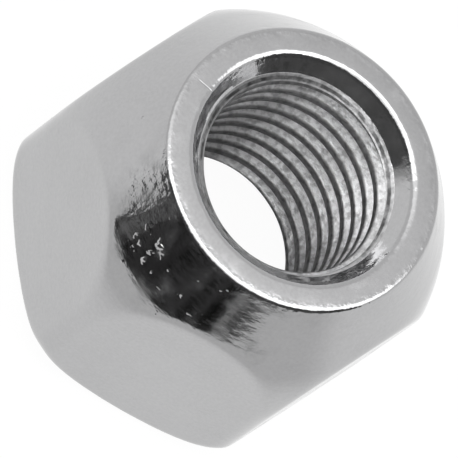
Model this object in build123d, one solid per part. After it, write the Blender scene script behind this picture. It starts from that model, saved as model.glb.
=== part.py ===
from build123d import *
import math
import os

# An open-ended lug nut: a hexagon barrel turned round at both ends, with a
# sixty degree conical seat at the top and a hole for a thread right through.
# It stands on its hex end with the bore along +Z and the seat end up.
# The origin is the centre of the flat back face. Sizes are in millimetres.

ACROSS_FLATS = 20.64        # 13/16 in wrench size
HEIGHT = 16.8               # back face to the rim round the mouth
CORNER_ROUND = 1.03         # rounding along the six upright corners
BARREL_RADIUS = 11.72       # turned barrel that the corners just reach

BACK_FACE_RADIUS = 8.67     # flat ring the nut stands on
BACK_SHOULDER_RISE = 2.6    # height of the round shoulder behind the hex

SEAT_HALF_ANGLE = 30.0      # half of the sixty degree seat
SEAT_TOP_RADIUS = 8.19      # where the seat would meet the rim, unrounded
SEAT_SWELL = 11.6           # radius of the swell from the seat to the barrel
RIM_FALL = 0.045            # how far the rim falls from the mouth to the seat
RIM_EDGE_ROUND = 0.36       # rounding between the seat and the rim

THREAD_MINOR_RADIUS = 5.4   # wall left between the grooves of an M12 x 1.5 thread
MOUTH_RADIUS = 6.74         # inner edge of the rim, its highest ring
MOUTH_ROUND = 0.45          # rounding from the rim into the countersink
MOUTH_HALF_ANGLE = 41.0     # half of the 82 degree countersink
BACK_MOUTH_RADIUS = 6.83    # lead-in where it opens in the back face
BACK_MOUTH_DEPTH = 2.44     # depth of the lead-in
BACK_MOUTH_ROUND = 0.27     # rounding between the back face and the lead-in


def seat_height(radius):
    """Height of the conical seat at a given radius."""
    fall = (radius - SEAT_TOP_RADIUS) / math.tan(math.radians(SEAT_HALF_ANGLE))
    return HEIGHT - RIM_FALL - fall


def countersink_height(radius):
    """Height of the front countersink at a given radius."""
    return HEIGHT - (MOUTH_RADIUS - radius) / math.tan(math.radians(MOUTH_HALF_ANGLE))


def turned_section():
    """Half section of the nut as if it were turned from round bar."""
    lean = math.radians(SEAT_HALF_ANGLE)
    swell_centre_r = BARREL_RADIUS - SEAT_SWELL
    seat_foot_r = swell_centre_r + SEAT_SWELL * math.cos(lean)
    seat_foot = (seat_foot_r, seat_height(seat_foot_r))
    swell_foot = (BARREL_RADIUS, seat_foot[1] - SEAT_SWELL * math.sin(lean))
    swell_middle = (
        swell_centre_r + SEAT_SWELL * math.cos(lean / 2),
        swell_foot[1] + SEAT_SWELL * math.sin(lean / 2),
    )
    seat_top = (SEAT_TOP_RADIUS, HEIGHT - RIM_FALL)
    mouth = (MOUTH_RADIUS, HEIGHT)
    thread_start = (THREAD_MINOR_RADIUS, countersink_height(THREAD_MINOR_RADIUS))
    thread_end = (THREAD_MINOR_RADIUS, BACK_MOUTH_DEPTH)
    back_mouth = (BACK_MOUTH_RADIUS, 0)
    with BuildSketch(Plane.XZ) as section:
        with BuildLine():
            Line(back_mouth, (BACK_FACE_RADIUS, 0))
            EllipticalCenterArc(
                (BACK_FACE_RADIUS, BACK_SHOULDER_RISE),
                BARREL_RADIUS - BACK_FACE_RADIUS,
                BACK_SHOULDER_RISE,
                start_angle=270,
                arc_size=90,
            )
            Line((BARREL_RADIUS, BACK_SHOULDER_RISE), swell_foot)
            ThreePointArc(swell_foot, swell_middle, seat_foot)
            Line(seat_foot, seat_top)
            TangentArc(mouth, seat_top, tangent=(1, 0))
            Line(mouth, thread_start)
            Line(thread_start, thread_end)
            Line(thread_end, back_mouth)
        make_face()
        fillet(corner_at(section, seat_top), RIM_EDGE_ROUND)
        fillet(corner_at(section, mouth), MOUTH_ROUND)
        fillet(corner_at(section, back_mouth), BACK_MOUTH_ROUND)
    return section.sketch


def corner_at(section, point):
    """The corner of the section that lies nearest a point given as (r, z)."""
    return section.vertices().sort_by_distance(Vector(point[0], point[1], 0))[0]


def turned_blank():
    """The nut before its hexagon is formed: round, bored and countersunk."""
    with BuildPart() as blank:
        add(turned_section())
        revolve(axis=Axis.Z)
    return blank.part


def hexagon_bar():
    """A bar of the wrench size with rounded corners, flats facing +Y and -Y."""
    with BuildPart() as bar:
        with BuildSketch():
            RegularPolygon(ACROSS_FLATS / 2, 6, major_radius=False)
        extrude(amount=HEIGHT)
        fillet(bar.edges().filter_by(Axis.Z), CORNER_ROUND)
    return bar.part


def lug_nut():
    """The round blank and the hexagon bar, where they overlap."""
    nut = turned_blank() & hexagon_bar()
    nut.label = "lug_nut"
    return nut


os.makedirs("parts", exist_ok=True)
export_step(lug_nut(), "parts/lug_nut.step")
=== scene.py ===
import math

import bpy
from mathutils import Matrix, Vector


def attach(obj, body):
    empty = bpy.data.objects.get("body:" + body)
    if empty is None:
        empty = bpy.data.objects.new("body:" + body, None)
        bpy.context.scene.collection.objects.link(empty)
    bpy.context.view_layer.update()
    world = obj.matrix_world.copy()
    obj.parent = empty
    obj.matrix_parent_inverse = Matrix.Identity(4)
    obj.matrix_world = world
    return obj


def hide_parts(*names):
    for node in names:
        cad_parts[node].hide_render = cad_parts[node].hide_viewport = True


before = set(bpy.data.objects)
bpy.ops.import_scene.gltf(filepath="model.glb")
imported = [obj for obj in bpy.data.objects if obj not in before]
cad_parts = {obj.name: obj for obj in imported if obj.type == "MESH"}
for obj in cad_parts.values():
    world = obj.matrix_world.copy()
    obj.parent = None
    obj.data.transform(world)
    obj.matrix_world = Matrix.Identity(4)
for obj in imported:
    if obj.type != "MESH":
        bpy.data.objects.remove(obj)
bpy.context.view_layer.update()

# An open-ended lug nut, chrome plated: a turned blank with a hexagon pressed into
# it, rounded along its edges, and a left-hand thread cut through the bore.
# Lengths are in metres, in the frame of the loaded part.

MM = 0.001

ACROSS_FLATS = 20.64 * MM
HEIGHT = 16.8 * MM
CORNER_ROUND = 1.03 * MM
BARREL_RADIUS = 11.72 * MM

BACK_FACE_RADIUS = 8.67 * MM
BACK_SHOULDER_RISE = 2.6 * MM
BACK_MOUTH_RADIUS = 6.83 * MM
BACK_MOUTH_DEPTH = 2.44 * MM
BACK_MOUTH_ROUND = 0.27 * MM

SEAT_LEAN = math.radians(30)
SEAT_TOP_RADIUS = 8.19 * MM
SEAT_SWELL = 11.6 * MM
RIM_FALL = 0.045 * MM
RIM_EDGE_ROUND = 0.36 * MM
MOUTH_RADIUS = 6.74 * MM
MOUTH_ROUND = 0.45 * MM
MOUTH_LEAN = math.radians(41)
LEDGE_RADIUS = 5.88 * MM
LEDGE_FOOT_RADIUS = 5.5 * MM
LEDGE_LEAN = math.radians(60)
LEDGE_ROUND = 0.12 * MM

THREAD_PITCH = 1.5 * MM
THREAD_MINOR_RADIUS = 5.4 * MM
THREAD_MAJOR_RADIUS = 6.1 * MM
THREAD_ROOT = THREAD_PITCH / 8
THREAD_FLANK_LEAN = math.radians(30)
THREAD_LEAD_IN = 0.35 * MM
THREAD_RUN_OUT = math.radians(132)

ROUND_STEPS = 360
THREAD_STEPS = 144
SKIN_CELL = 0.2 * MM


# ---------------------------------------------------------------- mesh tools

def begin_edit(piece):
    """Selects one piece only and opens it in edit mode with nothing picked."""
    bpy.ops.object.select_all(action="DESELECT")
    piece.select_set(True)
    bpy.context.view_layer.objects.active = piece
    bpy.ops.object.mode_set(mode="EDIT")
    bpy.ops.mesh.select_all(action="DESELECT")


def end_edit():
    bpy.ops.object.mode_set(mode="OBJECT")


def pick(piece, kind, test):
    """Picks the vertices or edges of an edited piece that pass a test."""
    bpy.ops.mesh.select_mode(type=kind)
    bpy.ops.mesh.select_all(action="DESELECT")
    end_edit()
    mesh = piece.data
    if kind == "VERT":
        for vertex in mesh.vertices:
            vertex.select = test(vertex.co)
    else:
        for edge in mesh.edges:
            a, b = (mesh.vertices[i].co for i in edge.vertices)
            edge.select = test(a, b)
    bpy.ops.object.mode_set(mode="EDIT")


def apply_modifier(piece, kind, **settings):
    """Adds a modifier with these settings and applies it at once."""
    bpy.ops.object.select_all(action="DESELECT")
    piece.select_set(True)
    bpy.context.view_layer.objects.active = piece
    modifier = piece.modifiers.new(kind.title(), kind)
    for name, value in settings.items():
        setattr(modifier, name, value)
    bpy.ops.object.modifier_apply(modifier=modifier.name)


def arc(centre, radii, start, end, step):
    """Points (r, z) along an arc or a quarter ellipse, about a step apart."""
    length = abs(end - start) * (radii[0] + radii[1]) / 2
    count = max(4, round(length / step))
    points = []
    for i in range(count + 1):
        angle = start + (end - start) * i / count
        points.append((centre[0] + radii[0] * math.cos(angle),
                       centre[1] + radii[1] * math.sin(angle)))
    return points


def straight(start, end, step):
    """Points (r, z) along a straight run, about a step apart."""
    length = math.dist(start, end)
    count = max(1, round(length / step))
    return [(start[0] + (end[0] - start[0]) * i / count,
             start[1] + (end[1] - start[1]) * i / count) for i in range(count + 1)]


def rounded(before, corner, after, radius, segments):
    """Points of the rounding of one corner of a section."""
    corner_v = Vector(corner)
    a = (Vector(before) - corner_v).normalized()
    b = (Vector(after) - corner_v).normalized()
    half = a.angle(b) / 2
    centre = corner_v + (a + b).normalized() * radius / math.sin(half)
    start = corner_v + a * radius / math.tan(half)
    end = corner_v + b * radius / math.tan(half)
    first = math.atan2(*(start - centre).yx)
    turn = (math.atan2(*(end - centre).yx) - first + math.pi) % (2 * math.pi) - math.pi
    return [(centre.x + radius * math.cos(first + turn * i / segments),
             centre.y + radius * math.sin(first + turn * i / segments))
            for i in range(segments + 1)]


# ------------------------------------------------------------------ the nut

def turned_section():
    """The half section of the blank as points (r, z), from the back face up and round."""
    swell_centre = BARREL_RADIUS - SEAT_SWELL
    foot_r = swell_centre + SEAT_SWELL * math.cos(SEAT_LEAN)
    foot_z = HEIGHT - RIM_FALL - (foot_r - SEAT_TOP_RADIUS) / math.tan(SEAT_LEAN)
    swell_z = foot_z - SEAT_SWELL * math.sin(SEAT_LEAN)
    seat_top = (SEAT_TOP_RADIUS, HEIGHT - RIM_FALL)
    mouth = (MOUTH_RADIUS, HEIGHT)
    ledge = (LEDGE_RADIUS, HEIGHT - (MOUTH_RADIUS - LEDGE_RADIUS) / math.tan(MOUTH_LEAN))
    ledge_foot = (LEDGE_FOOT_RADIUS,
                  ledge[1] - (LEDGE_RADIUS - LEDGE_FOOT_RADIUS) / math.tan(LEDGE_LEAN))
    thread_top = (THREAD_MINOR_RADIUS, ledge_foot[1] - THREAD_LEAD_IN)
    thread_foot = (THREAD_MINOR_RADIUS, BACK_MOUTH_DEPTH)
    back_mouth = (BACK_MOUTH_RADIUS, 0)
    back_edge = (BACK_FACE_RADIUS, 0)

    rim_width = SEAT_TOP_RADIUS - MOUTH_RADIUS
    crown = (rim_width ** 2 + RIM_FALL ** 2) / (2 * RIM_FALL)
    crown_centre = (MOUTH_RADIUS, HEIGHT - crown)
    rim_lean = math.asin(rim_width / crown)
    over_rim = (seat_top[0] - math.cos(rim_lean) * MM, seat_top[1] + math.sin(rim_lean) * MM)
    rim_edge = rounded((foot_r, foot_z), seat_top, over_rim, RIM_EDGE_ROUND, 10)
    mouth_edge = rounded((SEAT_TOP_RADIUS, HEIGHT), mouth, ledge, MOUTH_ROUND, 12)
    ledge_edge = rounded(mouth, ledge, ledge_foot, LEDGE_ROUND, 4)
    rim = arc(crown_centre, (crown, crown),
              math.acos((rim_edge[-1][0] - MOUTH_RADIUS) / crown),
              math.acos((mouth_edge[0][0] - MOUTH_RADIUS) / crown), SKIN_CELL / 2)[1:-1]
    back_mouth_edge = rounded(thread_foot, back_mouth, back_edge, BACK_MOUTH_ROUND, 6)

    skin = arc((BACK_FACE_RADIUS, BACK_SHOULDER_RISE),
               (BARREL_RADIUS - BACK_FACE_RADIUS, BACK_SHOULDER_RISE),
               -math.pi / 2, 0, SKIN_CELL)
    skin += straight((BARREL_RADIUS, BACK_SHOULDER_RISE), (BARREL_RADIUS, swell_z), SKIN_CELL)[1:]
    skin += arc((swell_centre, swell_z), (SEAT_SWELL, SEAT_SWELL), 0, SEAT_LEAN, SKIN_CELL)[1:]
    skin += straight((foot_r, foot_z), rim_edge[0], SKIN_CELL)[1:]
    mouth_and_bore = (mouth_edge + ledge_edge + [ledge_foot, thread_top, thread_foot]
                      + back_mouth_edge)
    return skin + rim_edge[1:] + rim + mouth_and_bore


def turn(name, section):
    """Turns a closed section (r, z) about the Z axis, ring by ring."""
    bpy.ops.mesh.primitive_circle_add(vertices=ROUND_STEPS, radius=section[0][0],
                                      location=(0, 0, section[0][1]))
    blank = bpy.context.object
    blank.name = name
    bpy.ops.object.transform_apply(location=True)
    begin_edit(blank)
    bpy.ops.mesh.select_all(action="SELECT")
    for here, there in zip(section, section[1:] + section[:1]):
        bpy.ops.mesh.extrude_region_move(
            TRANSFORM_OT_translate={"value": (0, 0, there[1] - here[1])})
        bpy.ops.transform.resize(value=(there[0] / here[0], there[0] / here[0], 1),
                                 center_override=(0, 0, 0))
    bpy.ops.mesh.select_all(action="SELECT")
    bpy.ops.mesh.remove_doubles(threshold=0.001 * MM)
    bpy.ops.mesh.normals_make_consistent(inside=False)
    end_edit()
    return blank


def hexagon_die():
    """The inside of the forming die: a long hexagon bar with rounded corners."""
    bpy.ops.mesh.primitive_cylinder_add(vertices=6, radius=ACROSS_FLATS / math.sqrt(3),
                                        depth=6 * HEIGHT, location=(0, 0, HEIGHT / 2),
                                        rotation=(0, 0, math.radians(30)))
    die = bpy.context.object
    bpy.ops.object.transform_apply(location=True, rotation=True)
    begin_edit(die)
    pick(die, "EDGE", lambda a, b: abs(a.z - b.z) > HEIGHT)
    bpy.ops.mesh.bevel(offset=CORNER_ROUND * math.tan(math.radians(30)), segments=24)
    end_edit()
    return die


def press_hexagon(blank):
    """Presses the six flats into the blank and eases the edges they leave."""
    die = hexagon_die()
    apply_modifier(blank, "SHRINKWRAP", target=die, wrap_method="NEAREST_SURFACEPOINT",
                   wrap_mode="INSIDE")
    bpy.data.objects.remove(die)
    begin_edit(blank)
    skin_top = HEIGHT - RIM_FALL - RIM_EDGE_ROUND
    hair = 0.05 * MM
    pick(blank, "VERT", lambda p: p.z < skin_top and p.xy.length > BACK_FACE_RADIUS + hair or
         hair < p.z < skin_top and p.xy.length > SEAT_TOP_RADIUS - hair)
    bpy.ops.mesh.vertices_smooth(factor=0.5, repeat=6)
    end_edit()


def thread_tap():
    """A threaded rod the size of the space inside the thread, cut left-handed."""
    half_groove = (THREAD_ROOT / 2
                   + (THREAD_MAJOR_RADIUS - THREAD_MINOR_RADIUS) * math.tan(THREAD_FLANK_LEAN))
    middle = THREAD_PITCH / 2
    crest = middle - half_groove
    root = middle - THREAD_ROOT / 2
    # One pitch of the rod's side, with its crest and root eased by hundredths of a millimetre.
    outline = [(THREAD_MINOR_RADIUS - 0.01 * MM, 0),
               (THREAD_MINOR_RADIUS - 0.01 * MM, crest - 0.07 * MM),
               (THREAD_MINOR_RADIUS + 0.02 * MM, crest - 0.02 * MM),
               (THREAD_MINOR_RADIUS + 0.08 * MM, crest + 0.05 * MM),
               (THREAD_MAJOR_RADIUS - 0.05 * MM, root - 0.03 * MM),
               (THREAD_MAJOR_RADIUS - 0.01 * MM, root + 0.02 * MM),
               (THREAD_MAJOR_RADIUS, middle)]
    outline += [(r, THREAD_PITCH - z) for r, z in reversed(outline[:-1])]
    run_out = (HEIGHT - (MOUTH_RADIUS - THREAD_MAJOR_RADIUS) / math.tan(MOUTH_LEAN)
               - THREAD_ROOT / 2)
    spare_turns = 4
    turns = math.ceil(HEIGHT / THREAD_PITCH) + spare_turns
    low = run_out + middle - (turns - 1) * THREAD_PITCH
    bpy.ops.mesh.primitive_plane_add(size=MM, location=(outline[0][0], 0, low))
    tap = bpy.context.object
    bpy.ops.object.transform_apply(location=True)
    begin_edit(tap)
    pick(tap, "VERT", lambda p: True)
    bpy.ops.mesh.merge(type="CENTER")
    for here, there in zip(outline, outline[1:]):
        bpy.ops.mesh.extrude_region_move(
            TRANSFORM_OT_translate={"value": (there[0] - here[0], 0, there[1] - here[1])})
    end_edit()
    apply_modifier(tap, "SCREW", axis="Z", angle=-2 * math.pi, screw_offset=THREAD_PITCH,
                   iterations=turns, steps=THREAD_STEPS, render_steps=THREAD_STEPS,
                   use_merge_vertices=False, use_smooth_shade=False)
    begin_edit(tap)
    bpy.ops.mesh.select_all(action="SELECT")
    bpy.ops.mesh.remove_doubles(threshold=0.002 * MM)
    for height, side in ((-MM, 1), (HEIGHT + MM, -1)):
        bpy.ops.mesh.select_all(action="SELECT")
        bpy.ops.mesh.bisect(plane_co=(0, 0, height), plane_no=(0, 0, side),
                            use_fill=True, clear_inner=True, threshold=1e-8)
    bpy.ops.mesh.select_all(action="SELECT")
    bpy.ops.transform.rotate(value=-THREAD_RUN_OUT, orient_axis="Z", center_override=(0, 0, 0))
    bpy.ops.mesh.normals_make_consistent(inside=False)
    end_edit()
    return tap


def cut_thread(blank):
    """Cuts the groove into the bore with the tap."""
    tap = thread_tap()
    apply_modifier(blank, "BOOLEAN", object=tap, operation="DIFFERENCE", solver="EXACT")
    bpy.data.objects.remove(tap)


def make_nut():
    """The whole nut in one piece: turned, pressed, threaded and smoothed."""
    nut = turn("chrome_lug_nut", turned_section())
    press_hexagon(nut)
    cut_thread(nut)
    bpy.ops.object.select_all(action="DESELECT")
    nut.select_set(True)
    bpy.context.view_layer.objects.active = nut
    bpy.ops.object.shade_smooth_by_angle(angle=math.radians(32))
    return nut


nut = make_nut()
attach(nut, "root")
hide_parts("lug_nut")


# ---------------------------------------------------------------- materials

class Value:
    """One output of a shader node, on which plain arithmetic works."""

    def __init__(self, finish, socket):
        self.finish = finish
        self.socket = socket

    def maths(self, operation, first, second):
        return self.finish.node("ShaderNodeMath", {"operation": operation},
                                {0: first, 1: second})

    def __add__(self, other):
        return self.maths("ADD", self, other)

    def __radd__(self, other):
        return self.maths("ADD", other, self)

    def __sub__(self, other):
        return self.maths("SUBTRACT", self, other)

    def __rsub__(self, other):
        return self.maths("SUBTRACT", other, self)

    def __mul__(self, other):
        return self.maths("MULTIPLY", self, other)

    def __rmul__(self, other):
        return self.maths("MULTIPLY", other, self)


class Finish:
    """A node material, or the world's nodes, built up one node at a time."""

    def __init__(self, tree):
        self.tree = tree
        self.tree.nodes.clear()

    def node(self, kind, settings=None, sockets=None, out=0):
        made = self.tree.nodes.new(kind)
        for name, value in (settings or {}).items():
            setattr(made, name, value)
        for name, value in (sockets or {}).items():
            if isinstance(value, Value):
                self.tree.links.new(value.socket, made.inputs[name])
            else:
                made.inputs[name].default_value = value
        return Value(self, made.outputs[out]) if len(made.outputs) else made

    def place(self):
        """Where a point of the piece is, in the frame of the part."""
        return self.node("ShaderNodeTexCoord", out="Object")

    def vector(self, operation, first, second=(0, 0, 0), out=0):
        return self.node("ShaderNodeVectorMath", {"operation": operation},
                         {0: first, 1: second}, out=out)

    def length(self, vector):
        return self.vector("LENGTH", vector, out="Value")

    def dot(self, first, second):
        return self.vector("DOT_PRODUCT", first, second, out="Value")

    def upward(self, vector):
        return self.node("ShaderNodeSeparateXYZ", None, {0: vector}, out=2)

    def ray(self, kind):
        return self.node("ShaderNodeLightPath", out=kind)

    def step(self, value, low, high):
        """0 below low, 1 above high and smooth between them."""
        return self.node("ShaderNodeMapRange", {"interpolation_type": "SMOOTHSTEP"},
                         {"Value": value, "From Min": low, "From Max": high})

    def ring(self, radius, low, high, soft):
        """1 between two radii and 0 outside them."""
        return self.step(radius, low - soft, low) * (1 - self.step(radius, high, high + soft))

    def patch(self, place, centre, inner, outer):
        """1 near a place on the skin and 0 further off."""
        away = self.vector("DISTANCE", place, centre, out="Value")
        return 1 - self.step(away, inner, outer)

    def noise(self, scale, detail, stretch=(1, 1, 1), offset=(0, 0, 0), roughness=0.5):
        """A cloudy pattern; the offset sets two patterns of one scale apart."""
        place = self.node("ShaderNodeMapping", None,
                          {"Vector": self.place(), "Scale": stretch, "Location": offset})
        return self.node("ShaderNodeTexNoise", None,
                         {"Vector": place, "Scale": scale, "Detail": detail,
                          "Roughness": roughness}, out="Fac")


def new_material(name):
    material = bpy.data.materials.new(name)
    material.use_nodes = True
    return material, Finish(material.node_tree)


# Where the nut is worn, each place on its skin.
PIT_CROWD = Vector((-9.5, 1.25, 14.3)) * MM
PIT_AREA = Vector((-9.3, -1.0, 14.3)) * MM
SCUFF = Vector((-8.35, 3.45, 15.1)) * MM
NICKS = [Vector((-5.7, 7.2, 15.0)) * MM, Vector((-10.85, -4.05, 8.85)) * MM,
         Vector((-8.05, -8.35, 7.1)) * MM]
SCRATCH_START = Vector((-2.45, 7.25, 16.77)) * MM
SCRATCH_WAY = Vector((0.31, -0.95, 0))
SCRATCH_LENGTH = 1.2 * MM
SCRATCH_WIDTH = 0.07 * MM
# Towards this side the bore is darker and duller.
DARKER_SIDE_AZIMUTH = math.radians(85)
MICRON = 0.001 * MM


class Zones:
    """Masks from 0 to 1 that say where on the nut each finish, each kind of wear and each painted
    sheen and shade is.
    """

    def __init__(self, f):
        place = f.place()
        height = f.upward(place)
        across = f.vector("MULTIPLY", place, (1, 1, 0))
        radius = f.length(across)
        self.bore(f, radius, height)
        self.rings(f, radius, height)
        self.marks(f, place, height)
        darker_way = (math.cos(DARKER_SIDE_AZIMUTH), math.sin(DARKER_SIDE_AZIMUTH), 0)
        towards_darker = f.dot(f.vector("NORMALIZE", across), darker_way)
        self.one_side_darker = self.inside * f.step(towards_darker, 0.4, 0.98)

    def bore(self, f, radius, height):
        """The thread, its crest and all that lies inside the countersink."""
        countersink_height = HEIGHT - (MOUTH_RADIUS - radius) * (1 / math.tan(MOUTH_LEAN))
        self.thread = (f.step(countersink_height - height, 0.1 * MM, 0.3 * MM)
                       * f.step(MOUTH_RADIUS - radius, 0.3 * MM, 0.4 * MM))
        wander = f.noise(500, 3, stretch=(1, 1, 1.5), offset=(3, 1, 7))
        crest_radius = THREAD_MINOR_RADIUS + (0.02 + 0.2 * wander) * MM
        self.crest = self.thread * f.step(crest_radius - radius, -0.02 * MM, 0.08 * MM)
        within_ledge = f.step(LEDGE_RADIUS + 0.07 * MM - radius, 0, 0.08 * MM)
        self.inside = 1 - (1 - within_ledge) * (1 - self.thread)

    def rings(self, f, radius, height):
        """The two edges of the rim, the countersink and the ledge at its foot."""
        self.edges = ((f.ring(radius, 7.95 * MM, 8.3 * MM, 0.3 * MM)
                       + f.ring(radius, 6.5 * MM, 6.8 * MM, 0.2 * MM))
                      * f.step(height, 16.2 * MM, 16.4 * MM))
        self.ledge = (1 - self.thread) * f.ring(radius, 5.62 * MM, 5.74 * MM, 0.06 * MM)
        self.cone = (1 - self.thread) * f.ring(radius, 5.9 * MM, 6.5 * MM, 0.1 * MM)

    def marks(self, f, place, height):
        """The pits, scuffs and nicks in the skin, and the scratch across the rim."""
        crowded = f.patch(place, PIT_CROWD, 0.8 * MM, 1.5 * MM)
        self.pits = (f.patch(place, PIT_AREA, 3.0 * MM, 4.0 * MM)
                     * f.step(f.noise(2100, 1) + crowded * 0.12, 0.67, 0.89)
                     * (1 - f.step(height, 16.0 * MM, 16.3 * MM)))
        self.scuffs = f.patch(place, SCUFF, 1.0 * MM, 2.2 * MM)
        self.nicks = sum(f.patch(place, nick, 0.03 * MM, 0.16 * MM) for nick in NICKS)
        from_start = f.vector("SUBTRACT", place, SCRATCH_START)
        aside = f.length(f.vector("CROSS_PRODUCT", from_start, SCRATCH_WAY))
        along = f.dot(from_start, SCRATCH_WAY)
        self.scratch = ((1 - f.step(aside, 0, SCRATCH_WIDTH))
                        * f.step(along, -0.1 * MM, 0.1 * MM)
                        * (1 - f.step(along, SCRATCH_LENGTH, SCRATCH_LENGTH + 0.2 * MM)))


def plating_relief(f, zones):
    """The height of the plating in microns: its ripples, the tool's lines and the wear."""
    ripple = f.noise(420, 2) * 6.0
    tool_lines = f.noise(1000, 3, stretch=(1, 1, 3.5)) * 7.0
    swirl = f.noise(260, 3, stretch=(1, 1, 4), offset=(9, 2, 4)) * 3.0
    rough_cut = f.noise(900, 3, stretch=(1, 1, 1.3), offset=(1, 9, 2)) * 5.0
    scuffs = zones.scuffs * f.noise(2300, 3, stretch=(1, 1, 0.8), offset=(7, 3, 3)) * 24.0
    marks = zones.pits * 60.0 + scuffs - zones.nicks * 28.0 - zones.scratch * 6.0
    torn_metal = zones.inside * f.noise(3200, 4, stretch=(1, 1, 1.6), roughness=0.65) * 34.0
    uneven = f.noise(2000, 3, offset=(8, 8, 2)) - 0.5
    edge_wear = (zones.edges * 30.0 + zones.cone * 9.0 + zones.ledge * 50.0) * uneven
    return ripple + tool_lines + swirl + rough_cut + marks + torn_metal + edge_wear


def plating_roughness(f, zones, grime):
    """Bright outside with a thin haze in places, and duller down the bore."""
    fine = 0.04 * f.noise(1500, 4)
    haze = 0.16 * f.step(f.noise(650, 4, offset=(4, 4, 9)), 0.45, 0.75)
    dull = zones.inside * (0.22 + 0.12 * grime) + zones.ledge * 0.2 + zones.one_side_darker * 0.4
    return 0.06 + fine + haze + dull


def plating_level(f, zones, grime):
    """How much light the metal returns: even outside; in the thread and countersink raised by
    painted sheen, with grime and stains, painted shade on the crests and the ledge, and darker
    towards one side.
    """
    cloud = f.noise(150, 4, offset=(2, 8, 3))
    grain = f.noise(5000, 2)
    blotch = f.step(f.noise(1100, 3, offset=(2, 2, 6)), 0.4, 0.6)
    stain = f.step(f.noise(2700, 5, stretch=(1, 1, 1.3), offset=(3, 3, 3)), 0.4, 0.7)
    outside = 0.385 + 0.06 * cloud + 0.06 * grain
    # Painted sheen: the thread's colour is raised well above the chrome's, less where grime lies,
    # and the countersink's a little.
    bore_sheen_and_grime = 1 + zones.thread * (1.35 - 0.6 * grime) + zones.cone * 0.2
    return (outside * bore_sheen_and_grime
            # Painted shade: the crests of the thread are half as bright.
            * (1 - zones.crest * 0.5)
            # Painted shade: a blotchy darker band on the ledge ring, between its two bright
            # lines.
            * (1 - zones.ledge * (0.12 + 0.55 * blotch))
            # Darker towards one side of the bore.
            * (1 - zones.one_side_darker * 0.42)
            * (1 - zones.inside * 0.4 * stain))


def chrome_plate():
    """Bright chrome outside, and dull grimy metal in the thread, with painted sheen and painted
    shade in the bore.
    """
    material, f = new_material("chrome_plate")
    zones = Zones(f)
    grime = f.noise(900, 4, stretch=(1, 1, 5), offset=(5, 5, 1))
    bump = f.node("ShaderNodeBump", None,
                  {"Strength": 1.0, "Distance": MICRON, "Height": plating_relief(f, zones)},
                  out="Normal")
    level = plating_level(f, zones, grime)
    colour = f.node("ShaderNodeCombineColor", None,
                    {"Red": level, "Green": level, "Blue": level * 1.01})
    shader = f.node("ShaderNodeBsdfPrincipled", None,
                    {"Base Color": colour, "Metallic": 1.0,
                     "Roughness": plating_roughness(f, zones, grime), "Normal": bump})
    f.node("ShaderNodeOutputMaterial", None, {"Surface": shader})
    return material


nut.data.materials.clear()
nut.data.materials.append(chrome_plate())


# -------------------------------------------------------------------- studio

WHITE = (1, 1, 1, 1)
FLOOR_SIZE = 4.0
SHADED_SIDE = math.radians(205)
BOARD_TOP = 32.5 * MM
ROOM_TOP = 522.5 * MM
ROOM_DISTANCE = 455 * MM

# Directions from the nut to the big light, to its spill and to the dim side of the room.
LIGHT_WAY = Vector((-0.62, -0.62, 0.48))
SPILL_WAY = Vector((-0.848, -0.15, 0.508))
DIM_WAY = Vector((-0.940, -0.342, 0))


def white_floor():
    """A white sheet that keeps the nut's shadow; in the chrome it carries painted shade, falling
    off to one side and under the bore.
    """
    bpy.ops.mesh.primitive_plane_add(size=FLOOR_SIZE, location=(0, 0, 0))
    floor = bpy.context.object
    floor.name = "studio_floor"
    material, f = new_material("studio_floor")
    mirrored = f.ray("Is Glossy Ray")
    shown = f.node("ShaderNodeMath", {"operation": "ADD", "use_clamp": True},
                   {0: f.ray("Is Camera Ray") + mirrored, 1: f.ray("Is Transmission Ray")})
    distance = f.length(f.place())
    side = f.dot(f.vector("NORMALIZE", f.place()),
                 (math.cos(SHADED_SIDE), math.sin(SHADED_SIDE), 0))
    # Painted shade, seen only in the chrome: darker far off on the shaded side, and a painted
    # shadow on the floor under the bore.
    far_shade = f.step(distance, 19.5 * MM, 43 * MM) * f.step(side, 0.25, 0.55) * 0.24
    painted_bore_shadow = (1 - f.step(distance, 7 * MM, 9 * MM)) * 0.85
    shade = (far_shade + painted_bore_shadow) * mirrored
    paper = f.node("ShaderNodeBsdfDiffuse", None, {"Color": (0.95, 0.95, 0.95, 1)})
    white = f.node("ShaderNodeEmission", None, {"Color": WHITE, "Strength": 1 - shade})
    mixed = f.node("ShaderNodeMixShader", None, {0: shown * 0.96, 1: paper, 2: white})
    f.node("ShaderNodeOutputMaterial", None, {"Surface": mixed})
    floor.data.materials.append(material)


def dark_card(name, path, foot, top, shade):
    """A standing card that follows a path of (azimuth, distance), seen only in the chrome."""
    points = [Vector((r * math.cos(math.radians(a)), r * math.sin(math.radians(a)), foot))
              for a, r in path]
    bpy.ops.mesh.primitive_plane_add(size=MM, location=points[0])
    card = bpy.context.object
    card.name = name
    bpy.ops.object.transform_apply(location=True)
    begin_edit(card)
    pick(card, "VERT", lambda p: True)
    bpy.ops.mesh.merge(type="CENTER")
    bpy.ops.mesh.extrude_region_move(TRANSFORM_OT_translate={"value": (0, 0, top - foot)})
    bpy.ops.mesh.select_all(action="SELECT")
    for here, there in zip(points, points[1:]):
        bpy.ops.mesh.extrude_region_move(TRANSFORM_OT_translate={"value": there - here})
    end_edit()
    material, f = new_material(name)
    mottle = f.step(f.noise(45, 4, stretch=(1, 1, 6)), 0.3, 0.7)
    dim = f.node("ShaderNodeEmission", None, {"Color": WHITE, "Strength": mottle * 2 * shade})
    f.node("ShaderNodeOutputMaterial", None, {"Surface": dim})
    card.data.materials.append(material)
    card.visible_camera = False
    card.visible_diffuse = False
    card.visible_shadow = False


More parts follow.
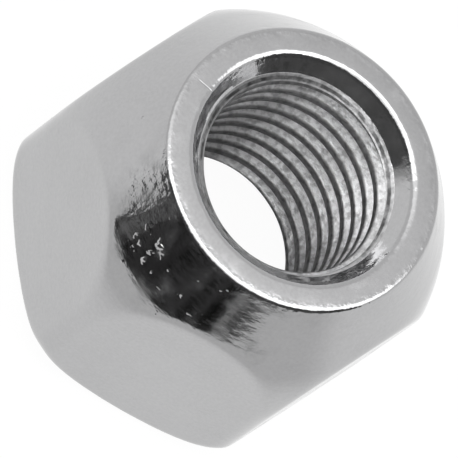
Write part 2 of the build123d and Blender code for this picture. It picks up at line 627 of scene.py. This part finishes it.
def dark_cards():
    """A long low board beyond the near side, with a dim room above it."""
    dark_card("board_end", [(128, 0.14), (150, 0.117)], 12.8 * MM, BOARD_TOP, 0.09)
    dark_card("board_start", [(150, 0.117), (162, 0.111)], 0, BOARD_TOP, 0.13)
    dark_card("board", [(162, 0.111), (175, 0.108), (188, 0.111), (200, 0.119),
                        (212, 0.139), (219, 0.155)], 0, BOARD_TOP, 0.04)
    dark_card("near_end", [(219, 0.155), (223, 0.1695)], 0, BOARD_TOP, 0.25)
    dark_card("far_board", [(223, 0.1695), (226, 0.181), (236, 0.238), (250, 0.325),
                            (287, 0.433)], 0, BOARD_TOP, 0.12)
    dark_card("dark_room", [(a, ROOM_DISTANCE) for a in range(137, 288, 10)],
              BOARD_TOP, ROOM_TOP, 0.09)


def studio_light():
    """A pale room with one big soft light overhead, a little off to one side."""
    world = bpy.data.worlds.new("studio_world")
    world.use_nodes = True
    bpy.context.scene.world = world
    f = Finish(world.node_tree)
    way = f.node("ShaderNodeTexCoord", out="Generated")
    upward = f.upward(way)
    softbox = f.step(f.dot(way, LIGHT_WAY), 0.15, 0.29) * f.step(upward, 0.35, 0.55)
    spill = f.step(f.dot(way, SPILL_WAY), -0.22, 0.36) * f.step(upward, 0.45, 0.75)
    ceiling = f.step(upward, 0.6, 0.8)
    dim_side = f.step(f.dot(way, DIM_WAY), 0.22, 0.38)
    light = (0.85 - 0.1 * ceiling + spill * 0.8 + softbox * 1.6) * (1 - dim_side * 0.5)
    glow = f.node("ShaderNodeBackground", None, {"Color": WHITE, "Strength": light})
    plain = f.node("ShaderNodeBackground", None, {"Color": WHITE, "Strength": 1.0})
    mixed = f.node("ShaderNodeMixShader", None,
                   {0: f.ray("Is Camera Ray"), 1: glow, 2: plain})
    f.node("ShaderNodeOutputWorld", None, {"Surface": mixed})


def camera():
    """A long lens high on the -X side, rolled so that the nut lies across the frame."""
    aim = Vector((-1.33, -0.30, 8.67)) * MM
    azimuth = math.radians(182.97)
    elevation = math.radians(59.45)
    roll = math.radians(53.93)
    distance = 817.5 * MM
    back = Vector((math.cos(elevation) * math.cos(azimuth),
                   math.cos(elevation) * math.sin(azimuth), math.sin(elevation)))
    level = Vector((-math.sin(azimuth), math.cos(azimuth), 0))
    up = back.cross(level)
    right = level * math.cos(roll) + up * math.sin(roll)
    up = back.cross(right)
    data = bpy.data.cameras.new("camera")
    data.sensor_width = 36
    data.lens = 1157
    data.clip_start = 0.01
    made = bpy.data.objects.new("camera", data)
    made.matrix_world = Matrix.Translation(aim + back * distance) @ Matrix(
        (right, up, back)).transposed().to_4x4()
    bpy.context.scene.collection.objects.link(made)
    bpy.context.scene.camera = made


white_floor()
dark_cards()
studio_light()
camera()
bpy.context.scene.view_settings.view_transform = "Standard"
